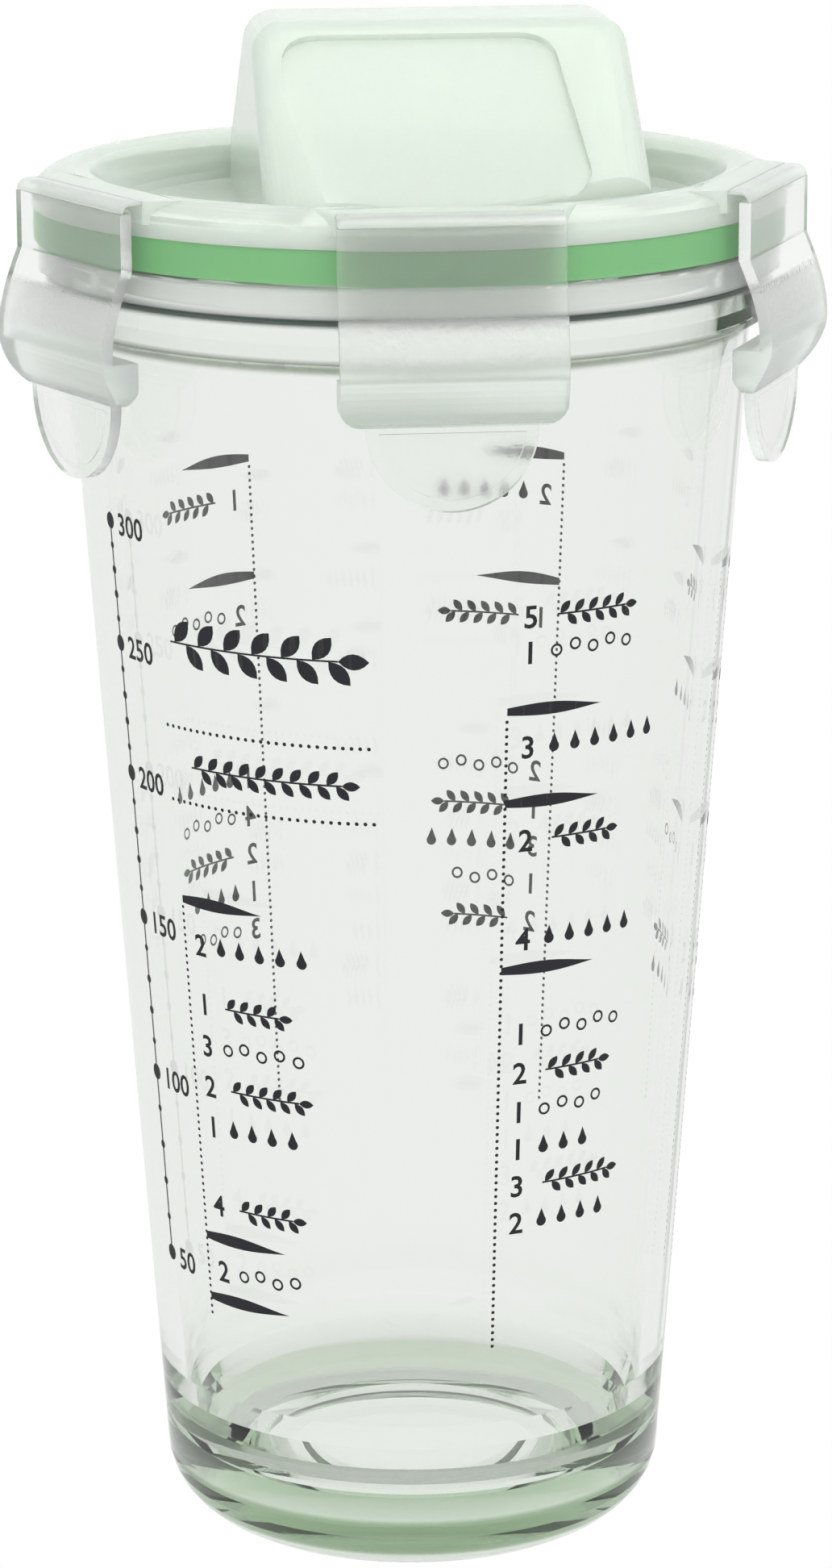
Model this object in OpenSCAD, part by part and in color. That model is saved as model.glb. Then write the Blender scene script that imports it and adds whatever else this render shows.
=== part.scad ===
/* [Glass] */
// Height of the glass from the table to its rim
glass_height = 149.2; // [120:0.1:190]
// Outside radius that the tapered wall would have at the table
taper_radius = 28.3; // [24:0.1:32]
// Thickness of the tapered glass wall
glass_wall = 2.7; // [1.8:0.1:3.6]
// Thickness of the heavy base, from the table to the inside floor
base_thickness = 7; // [4:0.1:14]
// Depth of the hollow under the base
push_up = 1.2; // [0.5:0.1:3]
// Width of the flat ring that the glass stands on
foot_width = 4.8; // [1:0.1:8]
// Width of the slope from the foot ring up to the hollow
push_up_slope = 0.8; // [0.4:0.1:4]
// Radius of the rounded heel between the foot and the wall
heel_radius = 8.5; // [7.8:0.1:12]
// Height at which the heel runs into the wall
heel_height = 7.7; // [4:0.1:7.7]
// Radius of the fillet between the inside floor and the wall
floor_fillet = 11; // [3:0.1:13]

/* [Rim of the glass] */
// Outside radius of the flange at the rim
flange_radius = 40.7; // [38:0.1:46]
// Height of the flange
flange_height = 3.6; // [2.5:0.1:5]
// How far the neck is set back from the flange
neck_set_back = 0.8; // [0.4:0.1:1.2]
// Height of the neck, from the flange down to the lock ledge
neck_height = 5; // [3:0.1:8]
// Overhang of the lock ledge beyond the tapered wall
ledge_width = 1.7; // [0.8:0.1:2.5]
// Thickness of the glass across the rim
rim_thickness = 4.3; // [3.4:0.1:4.5]
// Radius of the two rounded edges of the rim
rim_edge = 1.1; // [0.4:0.1:1.5]

/* [Gasket] */
// Height of the visible band of the gasket
gasket_height = 3.7; // [2:0.1:5]
// How far the gasket is set back from the edge of the lid
gasket_set_back = 0.2; // [0:0.1:0.6]
// Width of the root that holds the gasket in the lid
gasket_root_width = 1.4; // [0.8:0.1:2]
// Height of that root
gasket_root_height = 1.4; // [0.6:0.1:1.6]
// Depth of the groove between the two sealing lips
lip_groove_depth = 0.5; // [0.2:0.1:1]
// Width of each sealing lip
lip_width = 1.3; // [0.6:0.1:1.6]

/* [Lid] */
// How far the edge of the lid stands out beyond the flange
lid_overhang = 0.5; // [0.2:0.1:1]
// Height of the upright edge of the lid
edge_height = 2.4; // [1:0.1:3]
// Height of the rounded crown above the underside of the lid
crown_height = 4; // [3:0.1:5]
// Distance from the edge of the lid in to the top of the crown
crown_inset = 3.8; // [3:0.1:5]
// Width of the lid's ring, from its edge in to the well
ring_width = 5.8; // [5:0.1:7]
// Depth of the two wells beside the grip
well_depth = 5; // [3:0.1:6]
// Width of the sloping wall of the wells
well_slope = 2.4; // [1:0.1:4]
// Thickness of the floor of the wells
lid_wall = 1.6; // [1.2:0.1:2.2]
// Depth that the plug under the lid reaches into the glass
plug_depth = 3.7; // [2:0.1:5]
// Thickness of the plug's wall
plug_wall = 1.6; // [1:0.1:2.4]
// Taper of the plug towards its lower edge
plug_taper = 0.6; // [0.2:0.1:1]

/* [Grip] */
// Height of the hollow grip above the crown of the lid
grip_height = 16.4; // [10:0.1:24]
// Length of the grip at its top
grip_top_length = 41.4; // [32:0.1:44]
// Width of the grip at its top
grip_top_width = 19; // [14:0.1:26]
// Length of the grip at its foot
grip_foot_length = 42; // [38:0.1:50]
// Radius of the grip's upright corners at its foot
grip_foot_corner = 12; // [4:0.5:14]
// How far the grip stands off the middle of the lid
grip_offset = 2.9; // [0:0.1:3]
// Gap between the lid's ring and the toe of the grip
grip_toe_gap = 0.8; // [0.2:0.1:2]
// Radius of the rounded edges of the grip
grip_edge = 3.5; // [2.4:0.1:6]
// Wall thickness of the grip
grip_wall = 2; // [1.6:0.1:2.6]
// Length of the finger panel in each sloping side, low down
panel_length = 33; // [24:0.1:34]
// Length of that panel at its upper edge
panel_top_length = 30; // [20:0.1:33]
// Height of that panel, measured up the slope
panel_height = 29.4; // [16:0.1:29.6]
// Width of the lip between the panel and the toe of the grip
panel_lip = 0.6; // [0.4:0.1:3]
// Depth of that panel
panel_depth = 0.8; // [0.2:0.1:1.2]
// Radius of the panel's round corners
panel_corner = 4; // [2:0.1:6]
// Radius of the panel's curved lower edge
panel_sweep = 38; // [30:0.5:60]

/* [Flaps] */
// Width of a locking flap
flap_width = 24; // [18:0.1:28]
// Angle from the front flap round to each side flap
side_flap_angle = 65; // [55:0.5:75]
// How far the outside of a flap stands out beyond the edge of the lid
flap_reach = 1.5; // [1.4:0.1:3]
// Wall thickness of a flap
flap_wall = 1.3; // [1:0.1:1.3]
// Thickness of the film hinge
film_thickness = 0.5; // [0.3:0.1:0.7]
// Radius of the fold at the film hinge
fold_radius = 1.2; // [1:0.1:1.6]
// Length of the flat part of the film hinge, between the fold and the root
film_length = 1.4; // [1.4:0.1:2.4]
// How deep the flat top of the hinge root is set below the crown of the lid
root_drop = 0.1; // [0:0.1:0.8]
// Thickness of the hinge root
root_thickness = 2.5; // [1.5:0.1:3]
// How much wider the hinge root is at its inner end, on each side
root_flare = 1.8; // [0:0.1:3]
// Length of the hinge root, in from the fold
root_length = 5.2; // [4:0.1:7]
// Height of the plain window at the top of a flap
window_height = 6.2; // [3:0.1:8]
// How far the flap bulges out below the window
bulge_depth = 2.5; // [1:0.1:4]
// Height of the upper side of the bulge
bulge_rise = 9.2; // [6:0.1:12]
// Height of the lower side of the bulge
bulge_fall = 5.5; // [4:0.1:8]
// Gap under the ledge, down to the lock rib
lock_gap = 0.9; // [0.4:0.1:2]
// Height of the lock rib
lock_height = 3.3; // [2:0.1:4]
// Radius of the lower corners of a flap
flap_corner = 2.4; // [1:0.1:2.8]
// Radius of the round finger tongue
tongue_radius = 9.1; // [6:0.1:9.2]
// Width of the raised border of the tongue
tongue_border = 1.3; // [0.6:0.1:2.5]
// Depth of the field inside that border
tongue_relief = 0.4; // [0.1:0.1:0.6]

/* [Fits] */
// Gap between two faces that rest on each other
seat_gap = 0.05; // [0.02:0.01:0.1]
// Radial gap between the plug and the glass
plug_clearance = 0.5; // [0.3:0.05:0.8]
// Radial gap between the lock ribs and the flange
lock_clearance = 0.15; // [0.1:0.05:0.4]
// Gap between the gasket's root and its groove
root_clearance = 0.1; // [0.05:0.05:0.2]

/* [Hidden] */
$fn = 96;
ball_fn = 32;
corner_fn = 64;
arc_steps = 6;
overlap = 1;

// Heights and radii of the glass
ledge_z = glass_height - flange_height - neck_height;
neck_top_z = glass_height - flange_height;
neck_radius = flange_radius - neck_set_back;
shoulder_radius = neck_radius - ledge_width;
mouth_radius = flange_radius - rim_thickness;
wall_slope = (shoulder_radius - taper_radius) / ledge_z;
heel_middle = outside(heel_height) - heel_radius;
foot_radius = heel_middle + sqrt(heel_radius ^ 2 - heel_height ^ 2);

// Edge of the lid, which the gasket follows
lid_radius = flange_radius + lid_overhang;

// Heights and radii of the gasket
gasket_z = glass_height + seat_gap;
gasket_top_z = gasket_z + gasket_height;
gasket_outer = lid_radius - gasket_set_back;
gasket_inner = mouth_radius + gasket_set_back;
gasket_middle = (gasket_outer + gasket_inner) / 2;

// Heights and radii of the lid
lid_z = gasket_top_z + seat_gap;
crown_z = lid_z + crown_height;
crown_middle = lid_radius - crown_inset;
well_radius = lid_radius - ring_width;
well_z = crown_z - well_depth;
plug_radius = mouth_radius - plug_clearance;
plug_z = glass_height - plug_depth;
crown_drop = crown_height - edge_height;
crown_radius = (crown_inset ^ 2 + crown_drop ^ 2) / (2 * crown_drop);

// Heights and sizes of the grip
grip_top_z = crown_z + grip_height;
grip_foot_z = crown_z - grip_toe_gap;
toe_radius = well_radius - grip_toe_gap;
grip_run = toe_radius - grip_top_width / 2 + grip_edge;
grip_rise = grip_top_z - grip_edge - grip_foot_z;
grip_slope = atan2(grip_rise, grip_run) + asin(grip_edge / sqrt(grip_run ^ 2 + grip_rise ^ 2));

// Places of the flaps, measured out from the axis of the bottle
flap_outer = lid_radius + flap_reach;
flap_inner = flap_outer - flap_wall;
lock_distance = flange_radius + lock_clearance;
fold_distance = flap_outer - fold_radius;
root_top_z = crown_z - root_drop;
fold_z = root_top_z - fold_radius;
flap_top_z = fold_z - seat_gap;
bulge_top_z = flap_top_z - window_height;
bulge_z = bulge_top_z - bulge_rise;
bulge_low_z = bulge_z - bulge_fall;
lock_top_z = ledge_z - lock_gap;
tongue_z = bulge_low_z;
bulge_steps = 8;

// Outside radius of the tapered wall at height z
function outside(z) = taper_radius + wall_slope * z;

// Inside radius of the tapered wall at height z
function inside(z) = outside(z) - glass_wall;

// Points along an arc round [x, y] from angle a to angle b
function arc(x, y, radius, a, b, steps = arc_steps) =
    [for (i = [0:steps]) let (t = a + (b - a) * i / steps)
        [x + radius * cos(t), y + radius * sin(t)]];

// Distance of the outside of a flap from the axis at height z
function flap_face(z) = flap_outer + bulge_depth * (
    z > bulge_top_z || z < bulge_low_z ? 0 :
    z > bulge_z ? cos(90 * (z - bulge_z) / bulge_rise) :
    cos(90 * (bulge_z - z) / bulge_fall));

// Outline of the glass from the axis out, up and back down the inside
function glass_outline() = concat(
    [[0, push_up], [foot_radius - foot_width - push_up_slope, push_up],
        [foot_radius - foot_width, 0]],
    arc(heel_middle, heel_height, heel_radius, -asin(heel_height / heel_radius), 0),
    [[shoulder_radius, ledge_z - ledge_width / 2], [neck_radius, ledge_z],
        [neck_radius, neck_top_z - neck_set_back / 2], [flange_radius, neck_top_z]],
    arc(flange_radius - rim_edge, glass_height - rim_edge, rim_edge, 0, 90),
    arc(mouth_radius + rim_edge, glass_height - rim_edge, rim_edge, 90, 180),
    [[inside(ledge_z), ledge_z]],
    arc(inside(base_thickness + floor_fillet) - floor_fillet,
        base_thickness + floor_fillet, floor_fillet, 0, -90),
    [[0, base_thickness]]);

// Outline of the gasket: two lips below, a root above
function gasket_outline() = [
    [gasket_inner, gasket_z],
    [gasket_inner + lip_width, gasket_z],
    [gasket_inner + lip_width + lip_groove_depth, gasket_z + lip_groove_depth],
    [gasket_outer - lip_width - lip_groove_depth, gasket_z + lip_groove_depth],
    [gasket_outer - lip_width, gasket_z],
    [gasket_outer, gasket_z],
    [gasket_outer, gasket_top_z],
    [gasket_middle + gasket_root_width / 2, gasket_top_z],
    [gasket_middle + gasket_root_width / 2, gasket_top_z + gasket_root_height],
    [gasket_middle - gasket_root_width / 2, gasket_top_z + gasket_root_height],
    [gasket_middle - gasket_root_width / 2, gasket_top_z],
    [gasket_inner, gasket_top_z]];

// Outline of the lid's ring, wells and plug, without the gasket groove
function lid_outline() = concat(
    [[lid_radius, lid_z], [lid_radius, lid_z + edge_height]],
    arc(crown_middle, crown_z - crown_radius, crown_radius,
        acos(crown_inset / crown_radius), 90),
    [[well_radius, crown_z - edge_drop()], [well_radius - well_slope, well_z + lid_wall / 2],
        [well_radius - well_slope - lid_wall / 2, well_z], [0, well_z],
        [0, well_z - lid_wall], [plug_radius - plug_wall - lid_wall, well_z - lid_wall],
        [plug_radius - plug_wall, well_z - 2 * lid_wall],
        [plug_radius - plug_wall - plug_taper / 2, plug_z],
        [plug_radius - plug_taper, plug_z], [plug_radius, glass_height], [plug_radius, lid_z]]);

// How far the crown has dropped where the well begins
function edge_drop() = crown_radius
    - sqrt(crown_radius ^ 2 - (ring_width - crown_inset) ^ 2);

// Outline of a flap seen from its edge, as [-distance, height]
function flap_outline() = concat(
    [[-flap_inner, flap_top_z], [-flap_outer, flap_top_z]],
    [for (i = [0:bulge_steps]) let (z = bulge_top_z - bulge_rise * i / bulge_steps)
        [-flap_face(z), z]],
    [for (i = [1:bulge_steps]) let (z = bulge_z - bulge_fall * i / bulge_steps)
        [-flap_face(z), z]],
    [[-flap_outer, tongue_z - tongue_radius], [-flap_inner, tongue_z - tongue_radius],
        [-flap_inner, lock_top_z - lock_height - flap_wall],
        [-lock_distance, lock_top_z - lock_height], [-lock_distance, lock_top_z],
        [flap_wall - flap_face(lock_top_z), lock_top_z]],
    [for (i = [1:bulge_steps])
        let (z = lock_top_z + (bulge_top_z - lock_top_z) * i / bulge_steps)
        [flap_wall - flap_face(z), z]]);

// Glass vessel with a heavy base, a flanged rim and a lock ledge
module glass_body() {
    color([0.80, 0.88, 0.85, 0.4])
    rotate_extrude()
    polygon(glass_outline());
}

// Soft sealing ring between the glass and the lid
module gasket() {
    color([0.50, 0.76, 0.50])
    rotate_extrude()
    polygon(gasket_outline());
}

// Tapered block with round edges that stands on the floor of the wells
module grip_block(inset) {
    edge = grip_edge - inset / 2;
    top_x = grip_top_length / 2 - inset - edge;
    top_y = grip_top_width / 2 - inset - edge;
    corner = grip_foot_corner - inset;
    foot_x = grip_foot_length / 2 - inset - corner;
    foot_y = toe_radius - inset - corner;
    bottom_z = well_z - lid_wall / 2 - inset;
    intersection() {
        translate([grip_offset, 0, 0])
        hull()
        for (x = [-1, 1], y = [-1, 1]) {
            translate([x * top_x, y * top_y, grip_top_z - inset - edge])
            sphere(edge, $fn = ball_fn);
            translate([x * foot_x, y * foot_y, bottom_z])
            cylinder(r = corner, h = grip_foot_z - inset - bottom_z, $fn = corner_fn);
        }
        translate([0, 0, bottom_z - overlap])
        cylinder(r = toe_radius - inset, h = grip_height + well_depth + 2 * overlap + inset);
    }
}

// Outline of the finger panel: round upper corners and a curved lower edge
module panel_plan() {
    top_x = panel_top_length / 2 - panel_corner;
    low_x = panel_length / 2 - panel_corner;
    top_y = panel_height - panel_corner;
    low_y = panel_sweep - sqrt(panel_sweep ^ 2 - low_x ^ 2) + panel_corner;
    polygon(concat(arc(top_x, top_y, panel_corner, 90, 0),
        arc(low_x, low_y, panel_corner, 0, -90),
        arc(-low_x, low_y, panel_corner, -90, -180),
        arc(-top_x, top_y, panel_corner, 180, 90)));
    intersection() {
        translate([-low_x, 0])
        square([2 * low_x, low_y]);
        translate([0, panel_sweep])
        circle(panel_sweep);
    }
}

// Finger panel cut into the sloping front of the grip
module grip_panel() {
    translate([0, -toe_radius, grip_foot_z])
    rotate([grip_slope, 0, 0])
    translate([0, panel_lip, -panel_depth])
    linear_extrude(height = panel_depth + overlap)
    panel_plan();
}

// Flared plan of a hinge root, from its front edge to its inner end
module root_plan(front) {
    back = root_length - fold_distance;
    polygon([[-flap_width / 2, front], [flap_width / 2, front],
        [flap_width / 2 + root_flare, back],
        [-flap_width / 2 - root_flare, back]]);
}

// Root that carries a flap's film hinge on the lid's ring
module hinge_root() {
    translate([0, 0, root_top_z - root_thickness])
    linear_extrude(height = root_thickness)
    root_plan(film_length + seat_gap - fold_distance);
}

// Cut that levels the crown of the ring over a hinge root
module root_cut() {
    translate([0, 0, root_top_z])
    linear_extrude(height = root_drop + overlap)
    root_plan(-flap_outer);
}

// Moulded lid: ring, wells, plug, hollow grip and hinge roots
module lid() {
    color([0.90, 0.95, 0.92, 0.7])
    difference() {
        union() {
            rotate_extrude()
            polygon(lid_outline());
            grip_block(0);
            for (angle = [0, side_flap_angle, 180, -side_flap_angle])
                rotate([0, 0, angle])
                hinge_root();
        }
        grip_block(grip_wall);
        for (angle = [0, side_flap_angle, 180, -side_flap_angle])
            rotate([0, 0, angle])
            root_cut();
        for (turn = [0, 180])
            rotate([0, 0, turn])
            grip_panel();
        gasket_groove();
    }
}

// Groove in the underside of the lid for the gasket's root
module gasket_groove() {
    width = gasket_root_width + 2 * root_clearance;
    translate([0, 0, lid_z - overlap])
    difference() {
        cylinder(r = gasket_middle + width / 2, h = gasket_root_height + overlap);
        translate([0, 0, -overlap])
        cylinder(r = gasket_middle - width / 2, h = gasket_root_height + 3 * overlap);
    }
}

// Front view of a flap: plate, round corners and finger tongue
module flap_front_view() {
    corner_x = flap_width / 2 - flap_corner;
    corner_z = bulge_low_z + flap_corner;
    translate([-flap_width / 2, corner_z])
    square([flap_width, flap_top_z - corner_z + overlap]);
    translate([-corner_x, bulge_low_z])
    square([2 * corner_x, flap_corner + overlap]);
    for (side = [-1, 1])
        translate([side * corner_x, corner_z])
        circle(flap_corner);
    translate([0, tongue_z])
    circle(tongue_radius);
}

// Locking flap with its bulge, lock rib and bordered tongue
module flap() {
    reach = flap_outer + bulge_depth + overlap;
    color([0.88, 0.94, 0.91, 0.7])
    difference() {
        intersection() {
            rotate([90, 0, 90])
            linear_extrude(height = flap_width + 2 * overlap, center = true)
            polygon(flap_outline());
            rotate([90, 0, 0])
            linear_extrude(height = reach)
            flap_front_view();
        }
        translate([0, tongue_relief - flap_outer, tongue_z])
        rotate([90, 0, 0])
        linear_extrude(height = reach)
        difference() {
            circle(tongue_radius - tongue_border);
            translate([-tongue_radius, -tongue_border / 2])
            square([2 * tongue_radius, 2 * tongue_radius]);
        }
    }
}

// Film hinge that joins a flap to its root, folded as the flap hangs shut
module film() {
    color([0.92, 0.96, 0.94, 0.7])
    translate([0, -fold_distance, fold_z])
    rotate([90, 0, 90])
    linear_extrude(height = flap_width, center = true)
    polygon(concat([[film_length, fold_radius]],
        arc(0, 0, fold_radius, 90, 180),
        arc(0, 0, fold_radius - film_thickness, 180, 90),
        [[film_length, fold_radius - film_thickness]]));
}

glass_body();
gasket();
lid();
flap();  // flap_front
rotate([0, 0, side_flap_angle]) flap();  // flap_right
rotate([0, 0, 180]) flap();  // flap_back
rotate([0, 0, -side_flap_angle]) flap();  // flap_left
film();  // film_front
rotate([0, 0, side_flap_angle]) film();  // film_right
rotate([0, 0, 180]) film();  // film_back
rotate([0, 0, -side_flap_angle]) film();  // film_left
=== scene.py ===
"""Looks of the dressing shaker: materials, printing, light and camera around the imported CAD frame."""

from math import atan2, cos, pi, radians, sin, sqrt

import bpy
from mathutils import Matrix, Vector


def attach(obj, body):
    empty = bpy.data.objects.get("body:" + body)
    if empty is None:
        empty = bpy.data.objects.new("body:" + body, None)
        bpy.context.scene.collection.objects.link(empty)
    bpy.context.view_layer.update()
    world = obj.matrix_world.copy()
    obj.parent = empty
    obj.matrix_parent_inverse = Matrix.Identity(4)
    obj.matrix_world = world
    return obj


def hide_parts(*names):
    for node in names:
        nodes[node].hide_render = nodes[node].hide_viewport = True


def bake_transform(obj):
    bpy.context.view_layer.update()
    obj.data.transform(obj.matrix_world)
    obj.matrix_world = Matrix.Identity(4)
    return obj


MM = 0.001
FLAPS = ("front", "right", "back", "left")

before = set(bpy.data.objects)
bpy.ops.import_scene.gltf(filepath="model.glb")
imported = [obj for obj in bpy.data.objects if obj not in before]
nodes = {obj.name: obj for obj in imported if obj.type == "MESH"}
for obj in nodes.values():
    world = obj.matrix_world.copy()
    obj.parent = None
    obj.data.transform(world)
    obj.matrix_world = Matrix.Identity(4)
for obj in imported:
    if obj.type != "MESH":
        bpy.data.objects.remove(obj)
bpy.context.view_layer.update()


# Small helpers for node materials

def material(name):
    """A new node material, with its tree and its Principled shader."""
    mat = bpy.data.materials.new(name)
    mat.use_nodes = True
    return mat, mat.node_tree, mat.node_tree.nodes["Principled BSDF"]


def add(tree, kind, **values):
    """A new node, with its properties or its input values set."""
    node = tree.nodes.new(kind)
    for key, value in values.items():
        if hasattr(node, key):
            setattr(node, key, value)
        else:
            node.inputs[key.replace("_", " ")].default_value = value
    return node


def noise_bump(tree, shader, scale, strength, distance=0.0001, detail=3.0):
    """Fine moulded grain: noise in object space into the shader's normal."""
    coords = add(tree, "ShaderNodeTexCoord")
    noise = add(tree, "ShaderNodeTexNoise", Scale=scale, Detail=detail)
    bump = add(tree, "ShaderNodeBump", Strength=strength, Distance=distance)
    tree.links.new(coords.outputs["Object"], noise.inputs["Vector"])
    tree.links.new(noise.outputs[0], bump.inputs["Height"])
    tree.links.new(bump.outputs["Normal"], shader.inputs["Normal"])
    return coords, noise, bump


def ramp(tree, stops):
    """A colour ramp with grey stops [(place, value)]."""
    node = add(tree, "ShaderNodeValToRGB")
    elements = node.color_ramp.elements
    while len(elements) < len(stops):
        elements.new(0.5)
    for element, (place, value) in zip(elements, stops):
        element.position = place
        element.color = (value, value, value, 1)
    return node


def glass_material():
    """Clear glass with a green depth tint, painted shade for the refraction lines at its neck ledge and under its
    flange, a darker green heel that is part glass colour and part painted shade, and painted whitening at its
    foot, above its heel and on its flange.
    """
    mat, tree, shader = material("clear_glass")
    shader.inputs["Transmission Weight"].default_value = 1.0
    shader.inputs["Roughness"].default_value = 0.0
    shader.inputs["IOR"].default_value = 1.45
    coords, noise, bump = noise_bump(tree, shader, 45.0, 0.03, 0.0004, 1.0)
    split = add(tree, "ShaderNodeSeparateXYZ")
    place = add(tree, "ShaderNodeMapRange")
    place.inputs["From Max"].default_value = 0.1495
    # Colour by height: clear glass with painted shade bands at the heel, at the neck ledge and under the flange.
    tint = add(tree, "ShaderNodeValToRGB")
    # Painted shade: the near-black colour stands for the refraction line under the flange, the dull green one for
    # the thin line at the neck ledge.
    clear, dark, neck_ledge_shade = (0.988, 0.993, 0.986), (0.05, 0.07, 0.06), (0.22, 0.26, 0.19)
    # Painted shade at the heel: partly the green of the thick glass, partly darkening for the refraction crescent
    # seen there.
    heel = (0.53, 0.62, 0.49)
    stops = ((0.0, clear), (0.013, clear), (0.016, heel), (0.043, heel), (0.046, clear),
             (0.9325, clear), (0.934, neck_ledge_shade), (0.9385, neck_ledge_shade), (0.940, clear), (0.9655, clear),
             (0.967, dark), (0.9735, dark), (0.9745, clear), (1.0, clear))
    elements = tint.color_ramp.elements
    while len(elements) < len(stops):
        elements.new(0.5)
    for element, (where, colour) in zip(elements, stops):
        element.position = where
        element.color = (*colour, 1)
    links = tree.links
    links.new(coords.outputs["Object"], split.inputs[0])
    links.new(split.outputs["Z"], place.inputs["Value"])
    links.new(tint.outputs["Color"], shader.inputs["Base Color"])
    # Painted light and shade by height: lower transmission shows the white base as painted whitening at the foot,
    # just above the heel and on the flange, and lets the painted shade of the two lines show.
    painted_light_and_shade = ramp(tree, [(0.0, 0.5), (0.013, 0.5), (0.016, 1.0), (0.043, 1.0), (0.046, 0.82),
                       (0.060, 0.92), (0.080, 1.0), (0.9325, 1.0), (0.934, 0.6), (0.9385, 0.6),
                       (0.940, 1.0), (0.9655, 1.0), (0.967, 0.35), (0.9735, 0.35),
                       (0.9745, 0.65), (0.995, 0.7), (0.998, 1.0), (1.0, 1.0)])
    links.new(painted_light_and_shade.outputs["Color"], shader.inputs["Transmission Weight"])
    # The heel's darker green, part painted shade, and the painted whitening of the foot stay on the outer side:
    # the floor and the hollow under it are clear
    flat = add(tree, "ShaderNodeVectorMath", operation="MULTIPLY")
    flat.inputs[1].default_value = (1, 1, 0)
    radius = add(tree, "ShaderNodeVectorMath", operation="LENGTH")
    inside = add(tree, "ShaderNodeMath", operation="LESS_THAN")
    inside.inputs[1].default_value = 0.0225
    half = add(tree, "ShaderNodeMath", operation="MULTIPLY")
    half.inputs[1].default_value = 0.5
    higher = add(tree, "ShaderNodeMath", operation="MAXIMUM")
    links.new(coords.outputs["Object"], flat.inputs[0])
    links.new(flat.outputs["Vector"], radius.inputs[0])
    links.new(radius.outputs["Value"], inside.inputs[0])
    links.new(inside.outputs[0], half.inputs[0])
    links.new(place.outputs[0], higher.inputs[0])
    links.new(half.outputs[0], higher.inputs[1])
    links.new(higher.outputs[0], painted_light_and_shade.inputs["Fac"])
    links.new(higher.outputs[0], tint.inputs["Fac"])
    absorption = add(tree, "ShaderNodeVolumeAbsorption", Density=50.0)
    absorption.inputs["Color"].default_value = (0.70, 0.775, 0.68, 1)
    links.new(absorption.outputs["Volume"], tree.nodes["Material Output"].inputs["Volume"])
    return mat


def milky(name, colour, clear):
    """Moulded polypropylene: part see-through, part cloudy."""
    mat, tree, shader = material(name)
    shader.inputs["Base Color"].default_value = (*colour, 1)
    shader.inputs["Transmission Weight"].default_value = clear
    shader.inputs["IOR"].default_value = 1.38
    shader.inputs["Subsurface Weight"].default_value = 0.6
    shader.inputs["Subsurface Radius"].default_value = (0.9, 1.0, 0.9)
    shader.inputs["Subsurface Scale"].default_value = 0.004
    return mat, tree, shader


def lid_material():
    mat, tree, shader = milky("lid_plastic", (0.85, 0.94, 0.84), 0.52)
    shader.inputs["Roughness"].default_value = 0.13
    noise_bump(tree, shader, 140.0, 0.06, 0.0002)
    return mat


def flap_material():
    """The flap's zones by height: clear window, grainy band, smooth frosted band, clear tongue."""
    mat, tree, shader = milky("flap_plastic", (0.90, 0.95, 0.90), 0.8)
    shader.inputs["Subsurface Weight"].default_value = 0.3
    coords, noise, bump = noise_bump(tree, shader, 1500.0, 0.5, 0.00015, 2.0)
    split = add(tree, "ShaderNodeSeparateXYZ")
    tree.links.new(coords.outputs["Object"], split.inputs[0])
    place = add(tree, "ShaderNodeMapRange")
    place.inputs["From Min"].default_value = 0.120
    place.inputs["From Max"].default_value = 0.160
    tree.links.new(split.outputs["Z"], place.inputs["Value"])
    rough = ramp(tree, [(0.0, 0.10), (0.36, 0.10), (0.385, 0.30), (0.54, 0.30),
                        (0.56, 0.42), (0.645, 0.42), (0.66, 0.06), (1.0, 0.06)])
    grain = ramp(tree, [(0.0, 0.02), (0.53, 0.05), (0.55, 0.9), (0.64, 0.9), (0.66, 0.02)])
    clear = ramp(tree, [(0.0, 0.95), (0.36, 0.92), (0.385, 0.80), (0.54, 0.80),
                        (0.645, 0.80), (0.66, 0.93), (1.0, 0.93)])
    tint = add(tree, "ShaderNodeValToRGB")
    stops = ((0.0, (0.95, 0.96, 0.94)), (0.37, (0.94, 0.96, 0.94)), (0.39, (0.90, 0.94, 0.90)),
             (0.54, (0.90, 0.94, 0.90)), (0.56, (0.95, 0.96, 0.94)), (0.65, (0.95, 0.96, 0.94)),
             (0.67, (0.97, 0.985, 0.96)), (1.0, (0.97, 0.985, 0.96)))
    elements = tint.color_ramp.elements
    while len(elements) < len(stops):
        elements.new(0.5)
    for element, (where, colour) in zip(elements, stops):
        element.position = where
        element.color = (*colour, 1)
    for node, socket in ((rough, shader.inputs["Roughness"]), (grain, bump.inputs["Strength"]),
                         (clear, shader.inputs["Transmission Weight"]),
                         (tint, shader.inputs["Base Color"])):
        tree.links.new(place.outputs[0], node.inputs["Fac"])
        tree.links.new(node.outputs["Color"], socket)
    return mat


def film_material():
    """The thin fold over the hinge, whiter and glossier than the rest."""
    mat, tree, shader = milky("film_plastic", (0.90, 0.95, 0.90), 0.6)
    shader.inputs["Roughness"].default_value = 0.12
    noise_bump(tree, shader, 900.0, 0.04, 0.00005)
    return mat


def gasket_material():
    mat, tree, shader = material("green_silicone")
    shader.inputs["Base Color"].default_value = (0.135, 0.34, 0.14, 1)
    shader.inputs["Roughness"].default_value = 0.42
    shader.inputs["Subsurface Weight"].default_value = 0.25
    shader.inputs["Subsurface Radius"].default_value = (0.4, 1.0, 0.4)
    shader.inputs["Subsurface Scale"].default_value = 0.002
    noise_bump(tree, shader, 300.0, 0.15, 0.0001)
    return mat


def ink_material():
    mat, tree, shader = material("dark_ink")
    shader.inputs["Base Color"].default_value = (0.012, 0.012, 0.016, 1)
    shader.inputs["Roughness"].default_value = 0.6
    shader.inputs["Specular IOR Level"].default_value = 0.25
    noise_bump(tree, shader, 2500.0, 0.2, 0.00005)
    return mat


def dress(node, mat):
    """Gives a CAD node its material."""
    obj = nodes[node]
    obj.data.materials.clear()
    obj.data.materials.append(mat)
    return obj


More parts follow.
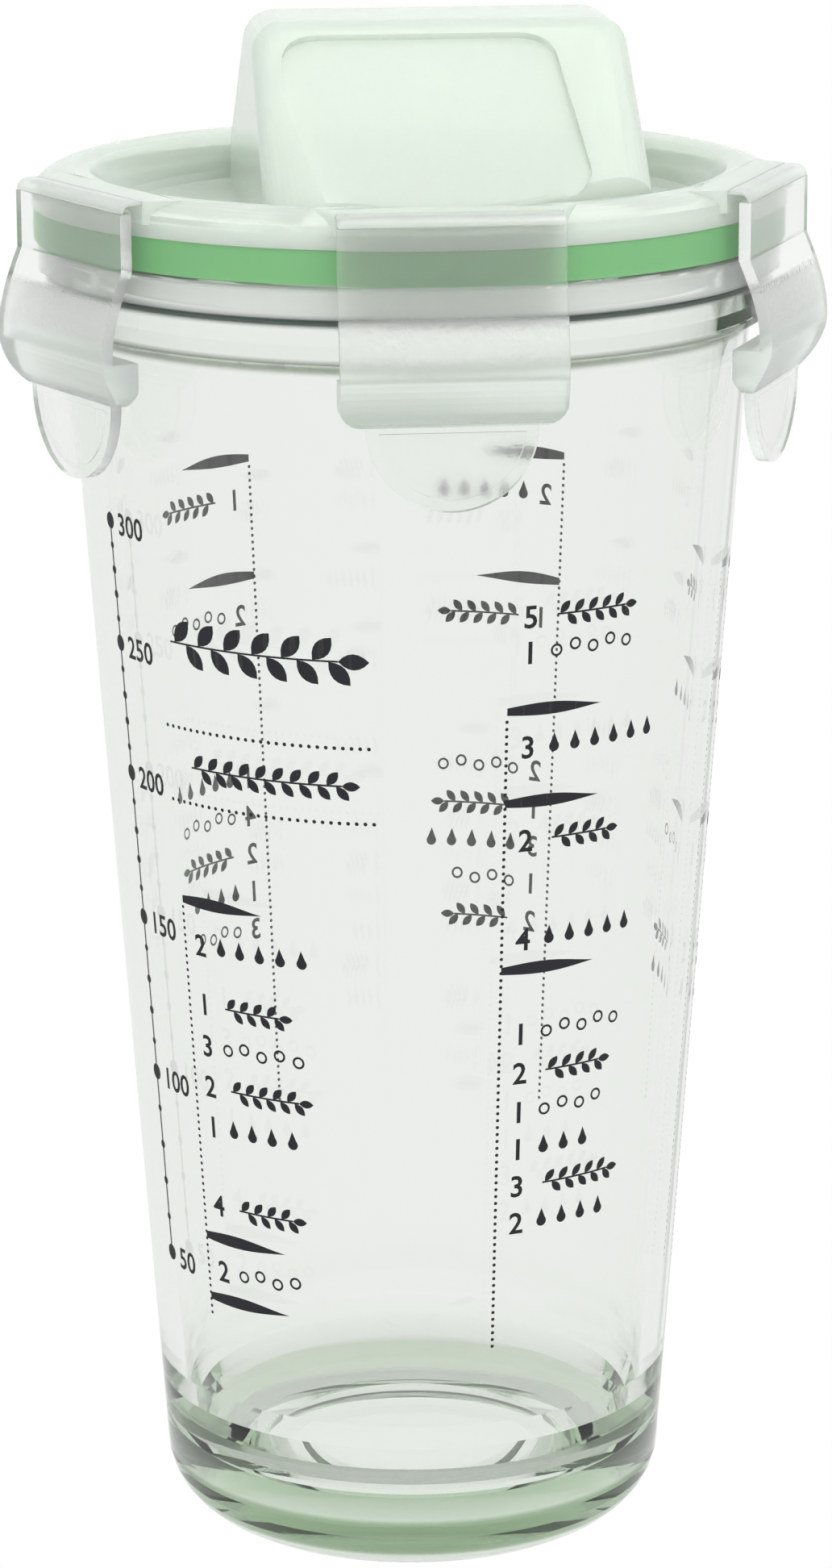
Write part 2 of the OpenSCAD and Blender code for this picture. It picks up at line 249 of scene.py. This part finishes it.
glass = glass_material()
plastic = lid_material()
film_plastic = film_material()
flap_plastic = flap_material()
silicone = gasket_material()
ink = ink_material()
dress("glass_body", glass)
dress("gasket", silicone)
dress("lid", plastic)
for side in FLAPS:
    dress("flap_" + side, flap_plastic)
    dress("film_" + side, plastic)


# The film hinges, strips folded over between the lid and the flaps

FILM_WIDTH = 24.0
FILM_THICKNESS = 0.5
FILM_ROOT = 40.1
FOLD_AXIS = (41.5, 155.7)
FOLD_RADIUS = 1.2
FLAP_TURN = {"front": 0, "right": 65, "back": 180, "left": -65}


def film_profile():
    """Points (distance, height) along the film's outer side, with the inner side below them."""
    out, axis_z = FOLD_AXIS
    flat = [FILM_ROOT + (out - FILM_ROOT) * i / 5 for i in range(5)]
    outer = [(d, axis_z + FOLD_RADIUS) for d in flat]
    inner = [(d, axis_z + FOLD_RADIUS - FILM_THICKNESS) for d in flat]
    for i in range(11):
        angle = pi / 2 * (1 - i / 10)
        for side, radius in ((outer, FOLD_RADIUS), (inner, FOLD_RADIUS - FILM_THICKNESS)):
            side.append((out + radius * cos(angle), axis_z + radius * sin(angle)))
    return outer, inner


def make_film(side):
    """A strip across the flap's width, rounded at its two ends and folded over the hinge."""
    turn = radians(FLAP_TURN[side])
    outer, inner = film_profile()
    loop = outer + inner[::-1]
    ends = [(-1.0, 0.35), (-0.99, 0.75), (-0.97, 1.0)]
    stations = ends + [(k / 8, 1.0) for k in range(-7, 8)] + [(-a, b) for a, b in ends[::-1]]
    verts, faces = [], []
    count = len(loop)
    for across, full in stations:
        x = across * FILM_WIDTH / 2
        for k, (d, z) in enumerate(loop):
            other = loop[count - 1 - k]
            middle = ((d + other[0]) / 2, (z + other[1]) / 2)
            d = middle[0] + (d - middle[0]) * full
            z = middle[1] + (z - middle[1]) * full
            verts.append(Vector((x * cos(turn) + d * sin(turn),
                                 x * sin(turn) - d * cos(turn), z)) * MM)
    for i in range(len(stations) - 1):
        for k in range(count):
            a, b = i * count + k, i * count + (k + 1) % count
            faces.append((a, b, b + count, a + count))
    for start, flip in ((0, False), ((len(stations) - 1) * count, True)):
        for k in range(count // 2 - 1):
            quad = (start + k, start + count - 1 - k, start + count - 2 - k, start + k + 1)
            faces.append(quad[::-1] if flip else quad)
    mesh = bpy.data.meshes.new("film_strip_" + side)
    mesh.from_pydata(verts, [], faces)
    mesh.polygons.foreach_set("use_smooth", [True] * len(mesh.polygons))
    mesh.materials.append(film_plastic)
    obj = bpy.data.objects.new("film_strip_" + side, mesh)
    bpy.context.collection.objects.link(obj)
    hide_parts("film_" + side)
    start = (FILM_ROOT, FOLD_AXIS[1] + FOLD_RADIUS)
    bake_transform(obj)


for side in FLAPS:
    make_film(side)


# Printing on the glass: a scale with plain numbers, dotted lines, tapered dashes and small leaves

CONE_FOOT = 28.3
CONE_SLOPE = 9.9 / 140.6
INK_LIFT = 0.04
COLUMNS = (-54.5, 10.9, 76.3, 141.7, 207.1)
SCALE_AZIMUTH = -69.5
SCALE = ((50, 34.0), (100, 55.8), (150, 74.2), (200, 91.0), (250, 105.9), (300, 119.8))


def on_glass(azimuth, x, z):
    """The point on the outside of the glass, x mm to the right of an azimuth and z mm up."""
    radius = CONE_FOOT + CONE_SLOPE * z + INK_LIFT
    angle = radians(azimuth) + x / radius
    return Vector((radius * sin(angle), -radius * cos(angle), z)) * MM


class Print:
    """Flat shapes in millimetres, gathered into one thin layer of ink on the glass."""

    def __init__(self):
        self.points = []
        self.faces = []

    def shape(self, azimuth, z0, outline):
        """One filled outline [(x, z)] round a place on the glass."""
        start = len(self.points)
        self.points += [on_glass(azimuth, x, z0 + z) for x, z in outline]
        self.faces.append(list(range(start, start + len(outline))))

    def strip(self, azimuth, z0, edges):
        """A long shape from pairs of edge points [((x, z), (x, z))], which bends with the glass."""
        for a, b in zip(edges, edges[1:]):
            self.shape(azimuth, z0, [a[0], b[0], b[1], a[1]])

    def dot(self, azimuth, z0, x, z, radius):
        turns = [2 * pi * i / 12 for i in range(12)]
        self.shape(azimuth, z0, [(x + radius * cos(t), z + radius * sin(t)) for t in turns])

    def ring(self, azimuth, z0, x, z, radius, width):
        turns = [2 * pi * i / 20 for i in range(21)]
        self.strip(azimuth, z0, [((x + radius * cos(t), z + radius * sin(t)),
                                  (x + (radius - width) * cos(t), z + (radius - width) * sin(t)))
                                 for t in turns])

    def line(self, azimuth, z0, a, b, width):
        """A straight line between two points."""
        dx, dz = b[0] - a[0], b[1] - a[1]
        length = sqrt(dx * dx + dz * dz)
        nx, nz = -dz / length * width / 2, dx / length * width / 2
        steps = max(1, round(length))
        middles = [(a[0] + dx * i / steps, a[1] + dz * i / steps) for i in range(steps + 1)]
        self.strip(azimuth, z0, [((x + nx, z + nz), (x - nx, z - nz)) for x, z in middles])

    def dots_up(self, azimuth, low, high, step=0.82, radius=0.2):
        for i in range(int((high - low) / step)):
            self.dot(azimuth, low, 0, i * step, radius)

    def dots_across(self, azimuth, z, length, step=0.95, radius=0.22):
        for i in range(int(length / step)):
            self.dot(azimuth, z, i * step, 0, radius)

    def dash(self, azimuth, z, length, height):
        """A tapered level dash: blunt at the dotted line, pointed at its far end."""
        steps = 10
        edges = []
        for i in range(steps + 1):
            t = i / steps
            half = height / 2 * (1 - t ** 3) * (0.7 + 0.6 * sin(pi * t))
            edges.append(((length * t, half), (length * t, -0.6 * half)))
        self.strip(azimuth, z, edges)

    def leaf(self, azimuth, z0, x, z, length, tilt):
        """A pointed leaf from (x, z), turned up by tilt degrees."""
        c, s = cos(radians(tilt)), sin(radians(tilt))
        edges = []
        for i in range(7):
            t = i / 6
            half = 0.26 * length * sin(pi * t) ** 0.8 + 0.02
            u = length * t
            edges.append(((x + u * c - half * s, z + u * s + half * c),
                          (x + u * c + half * s, z + u * s - half * c)))
        self.strip(azimuth, z0, edges)

    def sprig(self, azimuth, z, x, count, size=1.7):
        """A lying twig with leaves to both sides."""
        pitch = size * 1.05
        self.line(azimuth, z, (x, 0), (x + pitch * count, 0), 0.22)
        for i in range(count):
            self.leaf(azimuth, z, x + pitch * (i + 0.2), 0.1, size, 48)
            self.leaf(azimuth, z, x + pitch * (i + 0.7), -0.1, size, -48)
        self.leaf(azimuth, z, x + pitch * count, 0, size, 0)

    def drops(self, azimuth, z, x, count, size=1.0):
        for i in range(count):
            self.dot(azimuth, z, x + i * 2.6 * size, -0.2 * size, 0.62 * size)
            self.shape(azimuth, z, [(x + i * 2.6 * size - 0.5 * size, 0.1 * size),
                                    (x + i * 2.6 * size + 0.5 * size, 0.1 * size),
                                    (x + i * 2.6 * size, 1.35 * size)])

    def grains(self, azimuth, z, x, count):
        for i in range(count):
            self.ring(azimuth, z, x + i * 2.3, 0.5 * (i % 2), 0.72, 0.26)

    def number(self, azimuth, z, x, words, height):
        """Plain figures in Blender's own typeface."""
        curve = bpy.data.curves.new("figures", "FONT")
        curve.body = words
        curve.size = height * 1.4
        curve.resolution_u = 3
        curve.offset = 0.06
        holder = bpy.data.objects.new("figures", curve)
        mesh = holder.to_mesh()
        start = len(self.points)
        self.points += [on_glass(azimuth, x + v.co.x, z + v.co.y - height / 2) for v in mesh.vertices]
        self.faces += [[start + i for i in face.vertices] for face in mesh.polygons]
        holder.to_mesh_clear()
        bpy.data.objects.remove(holder)
        bpy.data.curves.remove(curve)

    def finish(self, name):
        mesh = bpy.data.meshes.new(name)
        mesh.from_pydata(self.points, [], self.faces)
        mesh.materials.append(ink)
        obj = bpy.data.objects.new(name, mesh)
        bpy.context.collection.objects.link(obj)
        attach(obj, "glass")


def print_scale():
    """The measuring line with its dots and numbers."""
    art = Print()
    low, high = SCALE[0][1], SCALE[-1][1]
    art.line(SCALE_AZIMUTH, 0, (0, low), (0, high + 1), 0.3)
    for (amount, z), below in zip(SCALE, (None,) + SCALE):
        art.dot(SCALE_AZIMUTH, z, 0, 0, 0.95)
        art.number(SCALE_AZIMUTH, z, 1.9, str(amount), 2.5)
        if below:
            for part in (1, 2, 3, 4):
                radius = 0.5 if part in (2, 3) else 0.42
                art.dot(SCALE_AZIMUTH, below[1] + (z - below[1]) * part / 5, 0, 0, radius)
    art.finish("print_scale")


def print_column(name, azimuth, low, high, rows):
    """A dotted line with a level dash, a number and a small motif at each row."""
    art = Print()
    art.dots_up(azimuth, low, high)
    for z, kind, count, number in rows:
        if kind == "dash":
            art.dash(azimuth, z, 11.5, 1.5)
            continue
        if number:
            art.number(azimuth, z, 1.6, number, 2.5)
        getattr(art, kind)(azimuth, z, 5.6, count)
    art.finish(name)


def print_band():
    """Two dotted lines across, with a row of leaves between them and a larger sprig above."""
    art = Print()
    art.dots_across(-55.1, 98.3, 27)
    art.dots_across(-55.1, 89.8, 27)
    art.sprig(-55.1, 94.0, 3.5, 9, 2.0)
    art.sprig(-55.1, 108.0, 1.5, 6, 3.4)
    art.finish("print_band")


print_scale()
print_band()
print_column("print_column_a", COLUMNS[0], 29, 78.6, (
    (78.2, "dash", 0, ""), (73.4, "drops", 5, "2"), (66.5, "sprig", 4, "1"), (61.6, "grains", 5, "3"),
    (56.8, "sprig", 5, "2"), (52.0, "drops", 4, "1"), (42.6, "sprig", 4, "4"), (38.4, "dash", 0, ""),
    (34.6, "grains", 4, "2"), (31.0, "dash", 0, "")))
print_column("print_column_b", COLUMNS[1], 28, 102.4, (
    (112.6, "sprig", 5, "5"), (108.6, "grains", 5, "1"), (102.0, "dash", 0, ""), (98.0, "drops", 6, "3"),
    (91.6, "dash", 0, ""), (87.4, "sprig", 4, "2"), (76.0, "drops", 5, "4"), (72.4, "dash", 0, ""),
    (65.0, "grains", 5, "1"), (60.4, "sprig", 4, "2"), (55.8, "grains", 4, "1"), (51.4, "drops", 3, "1"),
    (47.0, "sprig", 5, "3"), (42.6, "drops", 4, "2")))
print_column("print_column_c", COLUMNS[2], 30, 112, (
    (112.0, "dash", 0, ""), (107.5, "sprig", 3, "1"), (99.0, "dash", 0, ""), (94.6, "drops", 4, "2"),
    (82.0, "dash", 0, ""), (77.6, "grains", 4, "1"), (66.0, "sprig", 4, "2"), (61.4, "drops", 4, "4")))
print_column("print_column_d", COLUMNS[3], 40, 118, (
    (118.0, "dash", 0, ""), (113.4, "drops", 5, "2"), (103.0, "dash", 0, ""), (98.6, "sprig", 5, "1"),
    (80.0, "grains", 5, "2"), (75.4, "sprig", 5, "1"), (70.8, "drops", 5, "3"), (66.2, "grains", 4, "1"),
    (61.6, "sprig", 4, "2")))
print_column("print_column_e", COLUMNS[4], 40, 118, (
    (118.0, "dash", 0, ""), (113.4, "sprig", 5, "1"), (104.0, "dash", 0, ""), (99.6, "grains", 5, "2"),
    (80.0, "drops", 5, "1"), (75.4, "grains", 5, "4"), (70.8, "sprig", 5, "2"), (66.2, "drops", 4, "1"),
    (61.6, "grains", 4, "3")))


# Floor, light and camera

def floor_material():
    """White to the camera and in the glass, plain white paint for the light it returns."""
    mat, tree, shader = material("white_floor")
    shader.inputs["Base Color"].default_value = (0.9, 0.9, 0.9, 1)
    shader.inputs["Roughness"].default_value = 0.9
    path = add(tree, "ShaderNodeLightPath")
    seen = add(tree, "ShaderNodeEmission", Strength=1.0)
    mirrored = add(tree, "ShaderNodeEmission", Strength=0.92)
    either = add(tree, "ShaderNodeMath", operation="MAXIMUM")
    through = add(tree, "ShaderNodeMixShader")
    straight = add(tree, "ShaderNodeMixShader")
    links = tree.links
    links.new(path.outputs["Is Transmission Ray"], either.inputs[0])
    links.new(path.outputs["Is Glossy Ray"], either.inputs[1])
    links.new(either.outputs[0], through.inputs["Fac"])
    links.new(shader.outputs[0], through.inputs[1])
    links.new(mirrored.outputs[0], through.inputs[2])
    links.new(path.outputs["Is Camera Ray"], straight.inputs["Fac"])
    links.new(through.outputs[0], straight.inputs[1])
    links.new(seen.outputs[0], straight.inputs[2])
    links.new(straight.outputs[0], tree.nodes["Material Output"].inputs["Surface"])
    return mat


def make_floor():
    mesh = bpy.data.meshes.new("floor")
    size = 3.0
    mesh.from_pydata([(-size, -size, 0), (size, -size, 0), (size, size, 0), (-size, size, 0)],
                     [], [(0, 1, 2, 3)])
    obj = bpy.data.objects.new("floor", mesh)
    obj.data.materials.append(floor_material())
    obj.location.z = -0.0003
    bpy.context.collection.objects.link(obj)


def make_world():
    """A bright tent above, a dim band round the horizon that draws the edges of the glass, white to the camera."""
    world = bpy.data.worlds.new("studio")
    bpy.context.scene.world = world
    world.use_nodes = True
    tree = world.node_tree
    background = tree.nodes["Background"]
    coords = add(tree, "ShaderNodeTexCoord")
    split = add(tree, "ShaderNodeSeparateXYZ")
    sky = add(tree, "ShaderNodeValToRGB")
    elements = sky.color_ramp.elements
    stops = [(0.0, 0.95), (0.505, 0.95), (0.52, 1.0), (0.62, 1.0), (0.70, 1.12), (1.0, 1.2)]
    while len(elements) < len(stops):
        elements.new(0.5)
    for element, (place, value) in zip(elements, stops):
        element.position = place
        element.color = (value * 0.98, value, value * 0.985, 1)
    height = add(tree, "ShaderNodeMapRange")
    height.inputs["From Min"].default_value = -1.0
    path = add(tree, "ShaderNodeLightPath")
    mix = add(tree, "ShaderNodeMix", data_type="RGBA")
    links = tree.links
    links.new(coords.outputs["Generated"], split.inputs[0])
    links.new(split.outputs["Z"], height.inputs["Value"])
    links.new(height.outputs[0], sky.inputs["Fac"])
    links.new(path.outputs["Is Camera Ray"], mix.inputs["Factor"])
    links.new(sky.outputs["Color"], mix.inputs[6])
    mix.inputs[7].default_value = (1, 1, 1, 1)
    links.new(mix.outputs[2], background.inputs["Color"])
    background.inputs["Strength"].default_value = 1.0


def make_light(name, place, target, size, power, mirrored=False):
    data = bpy.data.lights.new(name, "AREA")
    data.shape = "RECTANGLE"
    data.size, data.size_y = size
    data.energy = power
    obj = bpy.data.objects.new(name, data)
    obj.location = place
    obj.visible_transmission = False
    obj.visible_glossy = mirrored
    obj.rotation_euler = (Vector(target) - Vector(place)).to_track_quat("-Z", "Y").to_euler()
    bpy.context.collection.objects.link(obj)


def make_camera():
    """The photograph's camera: 0.58 m away, looking down by 14.25 degrees."""
    data = bpy.data.cameras.new("camera")
    data.lens = 119.26
    data.sensor_width = 36
    data.shift_x = 0.0038
    data.shift_y = -0.0008
    obj = bpy.data.objects.new("camera", data)
    yaw, pitch, roll = radians(-6.2), 0.2488, -0.0039
    turn = (Matrix.Rotation(yaw, 4, "Z") @ Matrix.Rotation(pi / 2 - pitch, 4, "X")
            @ Matrix.Rotation(roll, 4, "Z"))
    obj.matrix_world = Matrix.Translation((-0.0623, -0.5732, 0.2322)) @ turn
    bpy.context.collection.objects.link(obj)
    bpy.context.scene.camera = obj


make_floor()
make_world()
make_light("key", (-0.5, -0.5, 0.6), (0, 0, 0.1), (0.5, 0.5), 0.5)
make_light("window", (0.22, -0.445, 0.6), (0, -0.02, 0.165), (0.3, 0.3), 1.3, mirrored=True)
make_light("back", (0.2, 0.45, 0.5), (0, 0, 0.155), (0.5, 0.4), 0.7)
make_light("front", (-0.1, -0.7, 0.14), (0, 0, 0.14), (0.4, 0.3), 1.0)
make_camera()
bpy.context.scene.view_settings.view_transform = "Standard"
paths = bpy.context.scene.cycles
paths.max_bounces = paths.glossy_bounces = paths.transmission_bounces = 32
